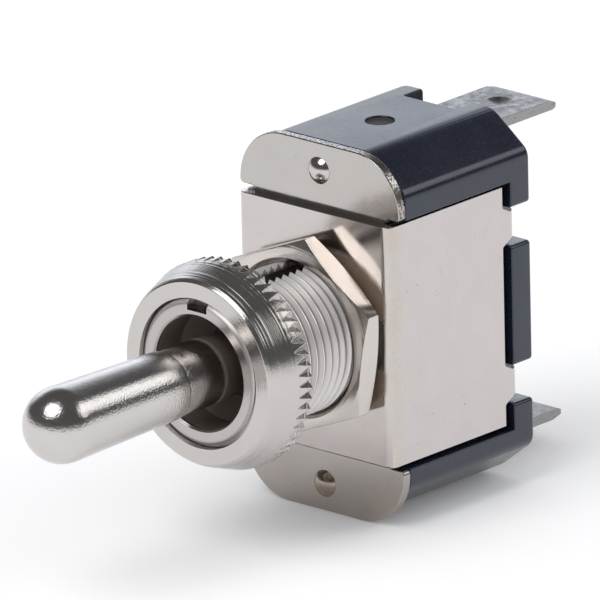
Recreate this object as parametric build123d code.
from build123d import *
import math
import os

# Panel toggle switch with two blade terminals, in millimetres.
# The threaded bushing points along -Y and the long side of the body runs along Z.
# The origin is on the bushing axis, in the front face of the bracket.

# Threaded bushing, with a 15/32 inch thread drawn at its outer size
THREAD_R = 11.906 / 2
BUSHING_LENGTH = 13.4
BUSHING_END_CHAMFER = 0.43
MOUTH_R = 4.56
MOUTH_DEPTH = 3.0
NECK_R = 3.12
REAR_BORE_R = 4.1
SPIGOT_R = 5.2
SWAGED_R = 5.9
SWAGED_THICK = 0.6
KEYWAY_WIDTH = 2.0
KEYWAY_FLOOR = 4.95

# Bracket, a folded strip with four tabs
SHEET = 0.85
BRACKET_WIDTH = 15.6
BRACKET_END_GAP = 0.31
BRACKET_DEPTH = 13.3
FOLD_R = 0.8
FOLD_INNER_R = 0.1
TAB_LOW = 5.2
TAB_WIDTH = 2.4
TAB_FLARE = 0.4
TAB_RISE = 0.75
TAB_REACH = 2.3
TAB_FOLD_R = 0.9
TAB_GAP = 0.35

# Front plate, between the bracket and the moulded base
PLATE_THICK = 0.8
PLATE_CORNER_R = 4.4
PLATE_INNER_CORNER_R = 0.4
PLATE_HOLE_R = 6.2
PLATE_NARROWING = 0.2

# Moulded base
BODY_WIDTH = 16.4
BODY_HEIGHT = 29.86
BODY_REAR = 16.1
END_HEIGHT = 4.88
BASE_SHORT = 0.55
END_FLAT_HALF = 4.6
END_CHAMFER_DROP = 2.79
END_EDGE_R = 2.4
SIDE_EDGE_R = 1.3
REAR_EDGE_R = 0.35
BLOCK_EDGE_R = 0.3
BLOCK_GAP = 0.5
NOTCH_INNER_X = 5.2
CAVITY_HALF_X = 4.6
CAVITY_FROM_BLADE = 2.0
CAVITY_FLOOR = 10.0
CAVITY_CORNER_R = 1.0
END_NOTCH_HALF = 2.7
END_NOTCH_DEPTH = 2.3
GATE_MARK_R = 1.14
GATE_MARK_Y = 8.0
GATE_MARK_DEPTH = 0.25

# Lever, a bat handle on a ball, with a hollow tail behind it
PIVOT_Y = -6.0
BALL_R = 3.9
TIP_R = 3.05
TIP_CENTRE_Y = -28.95
BAT_ROOT_R = 2.78
BAT_ROOT_Y = -17.3
STEM_R = 2.65
STEM_START_Y = -17.15
STEM_END_Y = -12.2
SHOULDER_R = 0.25
WAIST_R = 2.4
WAIST_START_Y = -9.8
TAIL_R = 2.2
TAIL_END_Y = 2.5
SPRING_HOLE_R = 1.5
SPRING_SEAT_Y = -5.0
PIN_R = 0.7
PIN_HALF = 4.8
PIN_SLOT_END = 4.95
PIN_SLOT_PLAY = 0.08

# Plunger and its spring in the lever's tail
PLUNGER_BACK_Y = -1.0
PLUNGER_TIP_Y = 6.0
PLUNGER_TIP_R = 1.3
WIRE_R = 0.17
SPRING_TURNS = 4

# Rocker, which carries the moving contact on a fulcrum
FULCRUM_Y = 7.6
FULCRUM_R = 0.55
ROCKER_APEX = 1.3
ROCKER_THICK = 0.9
ROCKER_HALF_X = 2.2
ROCKER_WING_Z = 3.2
ROCKER_WING_ANGLE = 16.0
ROCKER_BEYOND_CONTACT = 1.3
ROCKER_CORNER_R = 1.0
CONTACT_FROM_RIVET = 2.8
CONTACT_R = 1.2
CONTACT_THICK = 0.7
CONTACT_SHANK_R = 0.6
CONTACT_GAP_PER_ARM = 0.1984
FULCRUM_FOOT_LENGTH = 4.2
FULCRUM_FOOT_THICK = 0.8

# Blade terminals, 1/4 inch wide
BLADE_WIDTH = 6.35
BLADE_THICK = 0.81
BLADE_FROM_END = 2.33
BLADE_TIP_Y = 25.0
BLADE_CORNER = 0.15
BLADE_LEAD_OUTER = (1.1, 0.3)
BLADE_LEAD_INNER = (0.5, 0.2)
BLADE_DIMPLE_R = 1.0
BLADE_DIMPLE_DEPTH = 0.3
BLADE_DIMPLE_FROM_TIP = 3.2
STRIP_WIDTH = 5.0
TERMINAL_BEND_R = 0.9
LINE_STRIP_END = -1.2
STRIP_BEYOND_CONTACT = 1.4

# Rivets
LINE_RIVET_Z = 2.6
LOAD_RIVET_FROM_BLADE = 3.4
RIVET_R = 0.8
RIVET_HEAD_R = 1.2
RIVET_HEAD_THICK = 0.5
RIVET_POCKET_R = 1.8
RIVET_POCKET_DEPTH = 2.8
PLATE_RIVET_FROM_END = 2.23
PLATE_RIVET_R = 0.7
PLATE_RIVET_HEAD_R = 1.1
PLATE_RIVET_HEAD_HIGH = 0.55
PLATE_RIVET_LENGTH = 6.0

# Hex nut behind the panel and round nut in front of it
HEX_FLATS = 14.3
HEX_THICK = 1.9
HEX_FROM_BRACKET = 0.7
HEX_CORNER_ANGLE = 81.8
HEX_FACE_R = 7.1
HEX_CHAMFER_ANGLE = 20.0
NUT_COUNTERSINK = 0.4
ROUND_NUT_THICK = 4.05
ROUND_NUT_PROUD = 0.1
ROUND_NUT_FACE_R = 7.27
ROUND_NUT_EDGE = 0.23
ROUND_NUT_R = 8.32
ROUND_NUT_RIM = 1.4
SERRATIONS = 58
SERRATION_DEPTH = 0.5
SERRATION_RUN = 1.9

# Clearances
RUNNING_CLEARANCE = 0.05
SEAT_CLEARANCE = 0.02

# Places that follow from the sizes above
plate_back = SHEET + PLATE_THICK
half_width = BODY_WIDTH / 2
half_height = BODY_HEIGHT / 2
base_bottom = -half_height + BASE_SHORT
recess_half = half_height - END_HEIGHT
bracket_half = BRACKET_WIDTH / 2
bracket_top = recess_half - BRACKET_END_GAP
recess_x = bracket_half - SHEET - RUNNING_CLEARANCE
tab_seat = BRACKET_DEPTH + TAB_RISE
tab_high = TAB_LOW + TAB_WIDTH
middle_block_half = TAB_LOW - TAB_GAP
notch_top = tab_high + TAB_GAP
block_front = BRACKET_DEPTH + BLOCK_GAP
blade_z = half_height - BLADE_FROM_END
blade_outer = blade_z + BLADE_THICK / 2
blade_inner = blade_z - BLADE_THICK / 2
cavity_half_z = blade_z - CAVITY_FROM_BLADE
load_rivet_z = -(blade_z - LOAD_RIVET_FROM_BLADE)
contact_z = -load_rivet_z - CONTACT_FROM_RIVET
rocker_half_z = contact_z + ROCKER_BEYOND_CONTACT
contact_gap = contact_z * CONTACT_GAP_PER_ARM
load_strip_end = STRIP_BEYOND_CONTACT - contact_z
plate_rivet_z = half_height - PLATE_RIVET_FROM_END
strip_front = CAVITY_FLOOR - BLADE_THICK
apex_front = FULCRUM_Y - ROCKER_APEX
wing_rise = ROCKER_WING_Z * math.tan(math.radians(ROCKER_WING_ANGLE))
arm_front = apex_front - wing_rise
arm_back = arm_front + ROCKER_THICK
contact_face = arm_back + CONTACT_THICK
fixed_contact_face = contact_face + contact_gap
hex_back = -HEX_FROM_BRACKET
hex_front = hex_back - HEX_THICK
round_nut_front = -BUSHING_LENGTH - ROUND_NUT_PROUD
round_nut_back = round_nut_front + ROUND_NUT_THICK
nut_bore_r = THREAD_R + RUNNING_CLEARANCE


def slab(sketch, y_low, y_high):
    """Extrude a sketch drawn in X and Z from y_low to y_high."""
    return extrude(Plane.XZ.offset(-y_high) * sketch, amount=y_high - y_low)


def block(x_low, x_high, y_low, y_high, z_low, z_high):
    """A plain box between two corners."""
    size = (x_high - x_low, y_high - y_low, z_high - z_low)
    middle = ((x_low + x_high) / 2, (y_low + y_high) / 2, (z_low + z_high) / 2)
    return Pos(*middle) * Box(*size)


def rod(radius, y_low, y_high, x=0.0, z=0.0):
    """A round bar along Y."""
    return slab(Pos(x, z) * Circle(radius), y_low, y_high)


def turned(*outline):
    """Turn an outline of radius and Y points about the bushing axis."""
    return revolve(make_face(Polyline(*outline, close=True)), Axis.Y)


def mirrored_in_z(solid):
    """A solid and its mirror image below the middle of the body."""
    return [solid, mirror(solid, Plane.XY)]


def both_sides(solid):
    """A solid with its copies on the other side and at the other end."""
    copies = mirrored_in_z(solid)
    return copies + [mirror(copy, Plane.YZ) for copy in copies]


def make_base():
    """The moulded base: full-width ends, side recesses, a cavity and terminal slots."""
    upper = half_height - END_CHAMFER_DROP
    lower = base_bottom + END_CHAMFER_DROP
    outline = make_face(Polyline(
        (half_width, lower), (half_width, upper),
        (END_FLAT_HALF, half_height), (-END_FLAT_HALF, half_height),
        (-half_width, upper), (-half_width, lower),
        (-END_FLAT_HALF, base_bottom), (END_FLAT_HALF, base_bottom),
        close=True,
    ))
    side_corners = outline.vertices().filter_by(lambda v: abs(v.X) > half_width - 1e-6)
    outline = fillet(side_corners, SIDE_EDGE_R)
    end_corners = outline.vertices().filter_by(
        lambda v: abs(abs(v.X) - END_FLAT_HALF) < 1e-6)
    outline = fillet(end_corners, END_EDGE_R)
    body = slab(outline, plate_back, BODY_REAR)
    body = fillet(body.faces().sort_by(Axis.Y)[-1].edges(), REAR_EDGE_R)

    beyond = half_width + 1
    cuts = []
    # the bracket's side plates lie in these recesses
    for side in (-1, 1):
        low, high = sorted((side * recess_x, side * beyond))
        cuts.append(block(low, high, plate_back - 1, block_front, -recess_half, recess_half))
    # each tab passes through a notch and folds over its floor
    cuts += both_sides(block(NOTCH_INNER_X, beyond, tab_seat, BODY_REAR + 1,
                             middle_block_half, notch_top))
    cuts += both_sides(block(recess_x, beyond, block_front - 0.1, tab_seat + 0.1,
                             middle_block_half, notch_top))

    # the cavity for the contacts, open towards the front plate
    room = slab(RectangleRounded(2 * CAVITY_HALF_X, 2 * cavity_half_z, CAVITY_CORNER_R),
                plate_back - 1, CAVITY_FLOOR)
    cuts.append(room)
    # the strip of each terminal runs through a channel to its blade's slot
    slot_half = BLADE_WIDTH / 2 + RUNNING_CLEARANCE
    blade_low = blade_inner - RUNNING_CLEARANCE
    blade_high = blade_outer + RUNNING_CLEARANCE
    channel = block(-slot_half, slot_half, strip_front - RUNNING_CLEARANCE, CAVITY_FLOOR,
                    cavity_half_z - 1, blade_high)
    slot = block(-slot_half, slot_half, strip_front, BODY_REAR + 1, blade_low, blade_high)
    notch = block(-END_NOTCH_HALF, END_NOTCH_HALF, BODY_REAR - END_NOTCH_DEPTH, BODY_REAR + 1,
                  blade_z, half_height + 1)
    for cut in (channel, slot, notch):
        cuts += mirrored_in_z(cut)
    # rivets through the floor, with a pocket at the rear for each tail
    for z in (LINE_RIVET_Z, load_rivet_z):
        cuts.append(rod(RIVET_R + SEAT_CLEARANCE, CAVITY_FLOOR - 1, BODY_REAR, z=z))
        cuts.append(rod(RIVET_POCKET_R, BODY_REAR - RIVET_POCKET_DEPTH, BODY_REAR + 1, z=z))
    for z in (-plate_rivet_z, plate_rivet_z):
        cuts.append(rod(PLATE_RIVET_R + SEAT_CLEARANCE, plate_back - 1,
                        SHEET + PLATE_RIVET_LENGTH + RUNNING_CLEARANCE, z=z))
    # the mark that the moulding gate leaves on the top
    mark = Pos(0, GATE_MARK_Y, half_height) * Cylinder(GATE_MARK_R, 2 * GATE_MARK_DEPTH)
    cuts.append(mark)
    body -= cuts
    # the rear edges of the blocks beside the notches are rounded
    block_edges = body.edges().filter_by(Axis.X).filter_by(
        lambda e: e.center().Y > BODY_REAR - 1e-3 and abs(e.center().X) > NOTCH_INNER_X
        and abs(e.center().Z) < notch_top + 1e-3)
    return fillet(block_edges, BLOCK_EDGE_R)


def make_bracket():
    """The folded bracket: a web, two side plates and four tabs folded over the base."""
    inner = bracket_half - SHEET
    profile = make_face(Polyline(
        (-bracket_half, 0), (bracket_half, 0), (bracket_half, BRACKET_DEPTH),
        (inner, BRACKET_DEPTH), (inner, SHEET), (-inner, SHEET),
        (-inner, BRACKET_DEPTH), (-bracket_half, BRACKET_DEPTH), close=True,
    ))
    folds = profile.vertices().filter_by(lambda v: v.Y < SHEET / 2)
    profile = fillet(folds, FOLD_R)
    inner_folds = profile.vertices().filter_by(
        lambda v: abs(v.Y - SHEET) < 1e-6 and abs(abs(v.X) - inner) < 1e-6)
    profile = fillet(inner_folds, FOLD_INNER_R)
    strip = extrude(Plane.XY.offset(-bracket_top) * profile, amount=2 * bracket_top)

    tab_back = tab_seat + SHEET
    reach = bracket_half - TAB_REACH
    tab_profile = make_face(Polyline(
        (inner, BRACKET_DEPTH - SHEET), (bracket_half, BRACKET_DEPTH - SHEET),
        (bracket_half, tab_back), (reach, tab_back), (reach, tab_seat), (inner, tab_seat),
        close=True,
    ))
    tab_fold = tab_profile.vertices().filter_by(
        lambda v: v.X > bracket_half - 1e-6 and v.Y > tab_back - 1e-6)
    tab_profile = fillet(tab_fold, TAB_FOLD_R)
    root_low = TAB_LOW - TAB_FLARE
    root_high = tab_high + TAB_FLARE
    tab = extrude(Plane.XY.offset(root_low) * tab_profile, amount=root_high - root_low)
    # the tab is punched with a root that narrows towards its fold
    side_view = make_face(Polyline(
        (BRACKET_DEPTH - SHEET, root_low), (BRACKET_DEPTH, root_low), (tab_seat, TAB_LOW),
        (tab_back + 1, TAB_LOW), (tab_back + 1, tab_high), (tab_seat, tab_high),
        (BRACKET_DEPTH, root_high), (BRACKET_DEPTH - SHEET, root_high), close=True,
    ))
    tab &= extrude(Plane.YZ * side_view, amount=bracket_half + 1)
    hole = rod(SPIGOT_R + SEAT_CLEARANCE, -1, SHEET + 1)
    return strip + both_sides(tab) - hole


def make_front_plate():
    """The plate under the bracket, with a rounded full-width end above and below it."""
    end_low = recess_half + RUNNING_CLEARANCE
    corner_r = min(PLATE_CORNER_R, half_height - end_low - PLATE_INNER_CORNER_R - 0.01)
    waist = bracket_half - SHEET - PLATE_NARROWING
    outline = make_face(Polyline(
        (-half_width, end_low), (half_width, end_low),
        (half_width, half_height), (-half_width, half_height), close=True,
    ))
    corners = outline.vertices().group_by(Axis.Y)
    outline = fillet(corners[-1], corner_r)
    low_corners = outline.vertices().group_by(Axis.Y)[0]
    outline = fillet(low_corners, PLATE_INNER_CORNER_R)
    middle = Rectangle(2 * waist, 2 * end_low + 1)
    whole = middle + outline + mirror(outline, Plane.XZ)
    plate = slab(whole, SHEET, plate_back)
    holes = [rod(PLATE_RIVET_R + SEAT_CLEARANCE, 0, plate_back + 1, z=z)
             for z in (-plate_rivet_z, plate_rivet_z)]
    return plate - rod(PLATE_HOLE_R, 0, plate_back + 1) - holes


def make_plate_rivet(z):
    """A domed rivet that holds one end of the front plate to the base."""
    head_r = (PLATE_RIVET_HEAD_R ** 2 + PLATE_RIVET_HEAD_HIGH ** 2) / (2 * PLATE_RIVET_HEAD_HIGH)
    dome = Pos(0, SHEET - PLATE_RIVET_HEAD_HIGH + head_r, z) * Sphere(head_r)
    dome = dome & block(-2, 2, SHEET - 2, SHEET, z - 2, z + 2)
    return dome + rod(PLATE_RIVET_R, SHEET - 0.1, SHEET + PLATE_RIVET_LENGTH, z=z)


def make_bushing():
    """The threaded bushing: keyway, flared mouth, ball seat and pin slots."""
    end = -BUSHING_LENGTH
    seat_r = BALL_R + RUNNING_CLEARANCE
    seat_y = PIVOT_Y - math.sqrt(seat_r ** 2 - NECK_R ** 2)
    back = SHEET + SWAGED_THICK
    shell = turned(
        (0, end), (THREAD_R - BUSHING_END_CHAMFER, end), (THREAD_R, end + BUSHING_END_CHAMFER),
        (THREAD_R, 0), (SPIGOT_R, 0), (SPIGOT_R, SHEET), (SWAGED_R, SHEET), (SWAGED_R, back),
        (0, back),
    )
    mouth = turned(
        (0, end - 1), (MOUTH_R + 0.15, end - 1), (MOUTH_R + 0.15, end), (MOUTH_R, end + 0.15),
        (MOUTH_R, end + MOUTH_DEPTH), (NECK_R, seat_y), (0, seat_y),
    )
    seat = Pos(0, PIVOT_Y, 0) * Sphere(seat_r)
    rear_bore = rod(REAR_BORE_R, PIVOT_Y, back + 1)
    keyway = block(-KEYWAY_WIDTH / 2, KEYWAY_WIDTH / 2, end - 1, 0, KEYWAY_FLOOR, THREAD_R + 1)
    slot_r = PIN_R + PIN_SLOT_PLAY
    slot_end = Pos(0, PIVOT_Y, 0) * Rot(0, 90, 0) * Cylinder(slot_r, 2 * PIN_SLOT_END)
    slot = block(-PIN_SLOT_END, PIN_SLOT_END, PIVOT_Y, back + 1, -slot_r, slot_r)
    return shell - [mouth, seat, rear_bore, keyway, slot_end, slot]


def make_hex_nut():
    """The hexagonal nut, chamfered on both sides, seen side-on at the panel."""
    corner_r = HEX_FLATS / math.sqrt(3)
    middle = (hex_front + hex_back) / 2
    drop = (corner_r - HEX_FACE_R) * math.tan(math.radians(HEX_CHAMFER_ANGLE))
    prism = slab(Rot(0, 0, HEX_CORNER_ANGLE) * RegularPolygon(corner_r, 6), hex_front, hex_back)
    cone = turned(
        (0, hex_front), (HEX_FACE_R, hex_front), (corner_r, hex_front + drop),
        (corner_r, hex_back - drop), (HEX_FACE_R, hex_back), (0, hex_back),
    )
    sink_r = nut_bore_r + NUT_COUNTERSINK
    bore = turned(
        (0, hex_front - 1), (sink_r, hex_front - 1), (sink_r, hex_front),
        (nut_bore_r, hex_front + NUT_COUNTERSINK), (nut_bore_r, middle),
        (nut_bore_r, hex_back - NUT_COUNTERSINK), (sink_r, hex_back),
        (sink_r, hex_back + 1), (0, hex_back + 1),
    )
    return (prism & cone) - bore


def make_face_nut():
    """The round nut: a tapered barrel with V serrations that run out forwards."""
    rim_front = round_nut_back - ROUND_NUT_RIM
    sink_r = nut_bore_r + NUT_COUNTERSINK
    barrel = turned(
        (nut_bore_r, round_nut_front), (ROUND_NUT_FACE_R, round_nut_front),
        (ROUND_NUT_FACE_R + ROUND_NUT_EDGE, round_nut_front + ROUND_NUT_EDGE),
        (ROUND_NUT_R, rim_front), (ROUND_NUT_R, round_nut_back),
        (sink_r, round_nut_back), (nut_bore_r, round_nut_back - NUT_COUNTERSINK),
    )
    # each serration is a V whose floor climbs to the surface at its front end
    half_angle = math.pi / SERRATIONS
    floor_r = ROUND_NUT_R - SERRATION_DEPTH
    outside = ROUND_NUT_R + 0.3
    half_mouth = outside * math.tan(half_angle) * (outside - floor_r) / SERRATION_DEPTH
    section = Plane.XZ.offset(-(round_nut_back + 0.01)) * make_face(Polyline(
        (floor_r, 0), (outside, half_mouth), (outside, -half_mouth), close=True))
    tip = Vertex(outside, round_nut_back - SERRATION_RUN * (outside - floor_r) / SERRATION_DEPTH, 0)
    groove = loft([section.faces()[0], tip])
    grooves = [Rot(0, i * 360 / SERRATIONS, 0) * groove for i in range(SERRATIONS)]
    return barrel - grooves


def make_lever():
    """The bat handle, its ball and the hollow tail, turned as one piece."""
    bat = turned(
        (0, TIP_CENTRE_Y), (TIP_R, TIP_CENTRE_Y), (BAT_ROOT_R, BAT_ROOT_Y),
        (STEM_R, STEM_START_Y), (STEM_R, STEM_END_Y), (WAIST_R, WAIST_START_Y),
        (WAIST_R, PIVOT_Y), (TAIL_R, PIVOT_Y), (TAIL_R, TAIL_END_Y), (0, TAIL_END_Y),
    )
    shoulder = bat.edges().filter_by(
        lambda e: abs(e.center().Y - BAT_ROOT_Y) < 1e-3 and e.geom_type == GeomType.CIRCLE)
    bat = fillet(shoulder, SHOULDER_R)
    tip = Pos(0, TIP_CENTRE_Y, 0) * Sphere(TIP_R)
    ball = Pos(0, PIVOT_Y, 0) * Sphere(BALL_R)
    spring_hole = rod(SPRING_HOLE_R, SPRING_SEAT_Y, TAIL_END_Y + 1)
    pin_hole = Pos(0, PIVOT_Y, 0) * Rot(0, 90, 0) * Cylinder(PIN_R + SEAT_CLEARANCE, 3 * BALL_R)
    return bat + tip + ball - [spring_hole, pin_hole]


def make_pivot_pin():
    """The cross pin in the lever's ball, whose ends turn in the bushing's slots."""
    pin = Pos(0, PIVOT_Y, 0) * Rot(0, 90, 0) * Cylinder(PIN_R, 2 * PIN_HALF)
    return chamfer(pin.edges().filter_by(GeomType.CIRCLE), 0.15)


def make_lever_spring():
    """The spring that pushes the plunger out of the lever's tail."""
    seat = SPRING_SEAT_Y + WIRE_R + SEAT_CLEARANCE
    run = PLUNGER_BACK_Y - WIRE_R - SEAT_CLEARANCE - seat
    coil_r = SPRING_HOLE_R - RUNNING_CLEARANCE - WIRE_R
    helix = Helix(pitch=run / SPRING_TURNS, height=run, radius=coil_r)
    section = Plane(origin=helix @ 0, z_dir=helix % 0) * Circle(WIRE_R)
    coil = sweep(section, path=helix, is_frenet=True)
    return Pos(0, seat, 0) * Rot(-90, 0, 0) * coil


def make_plunger():
    """The moulded plunger that presses on the rocker."""
    guide_r = SPRING_HOLE_R - RUNNING_CLEARANCE
    dome_y = PLUNGER_TIP_Y - PLUNGER_TIP_R
    stem = turned(
        (0, PLUNGER_BACK_Y), (guide_r, PLUNGER_BACK_Y), (guide_r, dome_y - 1),
        (PLUNGER_TIP_R, dome_y - 0.8), (PLUNGER_TIP_R, dome_y), (0, dome_y),
    )
    return stem + Pos(0, dome_y, 0) * Sphere(PLUNGER_TIP_R)


def make_rocker():
    """The rocker strip: a shallow V in the middle and a flat arm at each end."""
    front = [(-rocker_half_z, arm_front), (-ROCKER_WING_Z, arm_front), (0, apex_front),
             (ROCKER_WING_Z, arm_front), (rocker_half_z, arm_front)]
    back = [(z, y + ROCKER_THICK) for z, y in reversed(front)]
    profile = make_face(Polyline(*[(y, z) for z, y in front + back], close=True))
    strip = extrude(Plane.YZ.offset(-ROCKER_HALF_X) * profile, amount=2 * ROCKER_HALF_X)
    ends = strip.edges().filter_by(Axis.Y).filter_by(
        lambda e: abs(abs(e.center().Z) - rocker_half_z) < 1e-3)
    strip = fillet(ends, ROCKER_CORNER_R)
    groove_r = FULCRUM_R + RUNNING_CLEARANCE
    groove = Pos(0, FULCRUM_Y, 0) * Rot(0, 90, 0) * Cylinder(groove_r, 4 * ROCKER_HALF_X)
    hole = rod(CONTACT_SHANK_R + SEAT_CLEARANCE, arm_front - 1, arm_back + 1, z=-contact_z)
    return strip - groove - hole


def make_moving_contact():
    """The contact rivet in the lower arm of the rocker."""
    head = turned(
        (0, arm_back), (CONTACT_R, arm_back), (CONTACT_R, contact_face - 0.2),
        (CONTACT_R - 0.3, contact_face), (0, contact_face),
    )
    shank = rod(CONTACT_SHANK_R, arm_front - 0.2, arm_back + 0.1)
    closing = rod(CONTACT_SHANK_R + 0.25, arm_front - 0.25, arm_front)
    return Pos(0, 0, -contact_z) * (head + shank + closing)


def make_fulcrum():
    """The upright edge that the rocker tips on, with a foot on the line terminal."""
    foot_front = strip_front - FULCRUM_FOOT_THICK
    upright = block(-ROCKER_HALF_X, ROCKER_HALF_X, FULCRUM_Y, strip_front, -FULCRUM_R, FULCRUM_R)
    edge = Pos(0, FULCRUM_Y, 0) * Rot(0, 90, 0) * Cylinder(FULCRUM_R, 2 * ROCKER_HALF_X)
    foot = block(-ROCKER_HALF_X, ROCKER_HALF_X, foot_front, strip_front,
                 -FULCRUM_R, FULCRUM_FOOT_LENGTH)
    whole = upright + edge + foot
    return whole - rod(RIVET_R + SEAT_CLEARANCE, foot_front - 1, strip_front + 1, z=LINE_RIVET_Z)


def make_terminal(side, strip_end):
    """A blade and its inner strip, folded square from one piece of sheet.

    side is 1 for the terminal at the top end and -1 for the one at the bottom."""
    outer_run, outer_drop = BLADE_LEAD_OUTER
    inner_run, inner_drop = BLADE_LEAD_INNER
    # the blade's tip is thinned on both faces
    profile = make_face(Polyline(
        (strip_front, side * strip_end), (strip_front, blade_outer),
        (BLADE_TIP_Y - outer_run, blade_outer), (BLADE_TIP_Y, blade_outer - outer_drop),
        (BLADE_TIP_Y, blade_inner + inner_drop), (BLADE_TIP_Y - inner_run, blade_inner),
        (CAVITY_FLOOR, blade_inner), (CAVITY_FLOOR, side * strip_end),
        close=True,
    ))
    bend = profile.vertices().filter_by(
        lambda v: abs(v.X - strip_front) < 1e-6 and abs(v.Y - blade_outer) < 1e-6)
    profile = fillet(bend, TERMINAL_BEND_R)
    whole = extrude(Plane.YZ.offset(-BLADE_WIDTH / 2) * profile, amount=BLADE_WIDTH)
    # the strip inside is narrower than the blade
    for low, high in ((-BLADE_WIDTH, -STRIP_WIDTH / 2), (STRIP_WIDTH / 2, BLADE_WIDTH)):
        whole -= block(low, high, strip_front - 1, CAVITY_FLOOR + 0.01,
                       side * strip_end - 1, blade_inner - 1)
    corners = whole.edges().filter_by(Axis.Z).filter_by(
        lambda e: e.center().Y > BLADE_TIP_Y - 1e-3)
    whole = chamfer(corners, BLADE_CORNER)
    ball_r = (BLADE_DIMPLE_R ** 2 + BLADE_DIMPLE_DEPTH ** 2) / (2 * BLADE_DIMPLE_DEPTH)
    dimple_y = BLADE_TIP_Y - BLADE_DIMPLE_FROM_TIP
    whole -= Pos(0, dimple_y, blade_outer + ball_r - BLADE_DIMPLE_DEPTH) * Sphere(ball_r)
    if side < 0:
        whole = mirror(whole, Plane.XY)
    return whole


def make_line_terminal():
    """The upper terminal, whose strip carries the fulcrum."""
    strip = make_terminal(1, LINE_STRIP_END)
    return strip - rod(RIVET_R + SEAT_CLEARANCE, strip_front - 1, CAVITY_FLOOR + 1, z=LINE_RIVET_Z)


def make_load_terminal():
    """The lower terminal, whose strip carries the fixed contact."""
    strip = make_terminal(-1, load_strip_end)
    rivet_hole = rod(RIVET_R + SEAT_CLEARANCE, strip_front - 1, CAVITY_FLOOR + 1, z=load_rivet_z)
    contact_hole = rod(CONTACT_SHANK_R + SEAT_CLEARANCE, strip_front - 1, CAVITY_FLOOR + 1,
                       z=-contact_z)
    return strip - rivet_hole - contact_hole


def make_fixed_contact():
    """The contact rivet in the strip of the lower terminal."""
    head = turned(
        (0, fixed_contact_face), (CONTACT_R - 0.3, fixed_contact_face),
        (CONTACT_R, fixed_contact_face + 0.2), (CONTACT_R, strip_front), (0, strip_front),
    )
    shank = rod(CONTACT_SHANK_R, strip_front - 0.1, CAVITY_FLOOR)
    return Pos(0, 0, -contact_z) * (head + shank)


def make_floor_rivet(z, seat_y):
    """A rivet from seat_y in the cavity through the floor to its pocket in the rear."""
    pocket_floor = BODY_REAR - RIVET_POCKET_DEPTH
    head = rod(RIVET_HEAD_R, seat_y - RIVET_HEAD_THICK, seat_y, z=z)
    head = chamfer(head.faces().sort_by(Axis.Y)[0].edges(), RIVET_HEAD_THICK / 2)
    shank = rod(RIVET_R, seat_y - 0.1, pocket_floor + 0.1, z=z)
    tail = rod(RIVET_HEAD_R, pocket_floor, pocket_floor + RIVET_HEAD_THICK, z=z)
    tail = chamfer(tail.faces().sort_by(Axis.Y)[-1].edges(), RIVET_HEAD_THICK / 2)
    hollow = rod(RIVET_R / 2, pocket_floor, pocket_floor + RIVET_HEAD_THICK + 1, z=z)
    return head + shank + tail - hollow


parts = {
    "base": make_base(),
    "bracket": make_bracket(),
    "front_plate": make_front_plate(),
    "plate_rivet_top": make_plate_rivet(plate_rivet_z),
    "plate_rivet_bottom": make_plate_rivet(-plate_rivet_z),
    "bushing": make_bushing(),
    "hex_nut": make_hex_nut(),
    "face_nut": make_face_nut(),
    "lever": make_lever(),
    "pivot_pin": make_pivot_pin(),
    "lever_spring": make_lever_spring(),
    "plunger": make_plunger(),
    "rocker": make_rocker(),
    "moving_contact": make_moving_contact(),
    "fulcrum": make_fulcrum(),
    "line_terminal": make_line_terminal(),
    "load_terminal": make_load_terminal(),
    "fixed_contact": make_fixed_contact(),
    "line_rivet": make_floor_rivet(LINE_RIVET_Z, strip_front - FULCRUM_FOOT_THICK),
    "load_rivet": make_floor_rivet(load_rivet_z, strip_front),
}

os.makedirs("parts", exist_ok=True)
for name, part in parts.items():
    export_step(part, os.path.join("parts", name + ".step"))
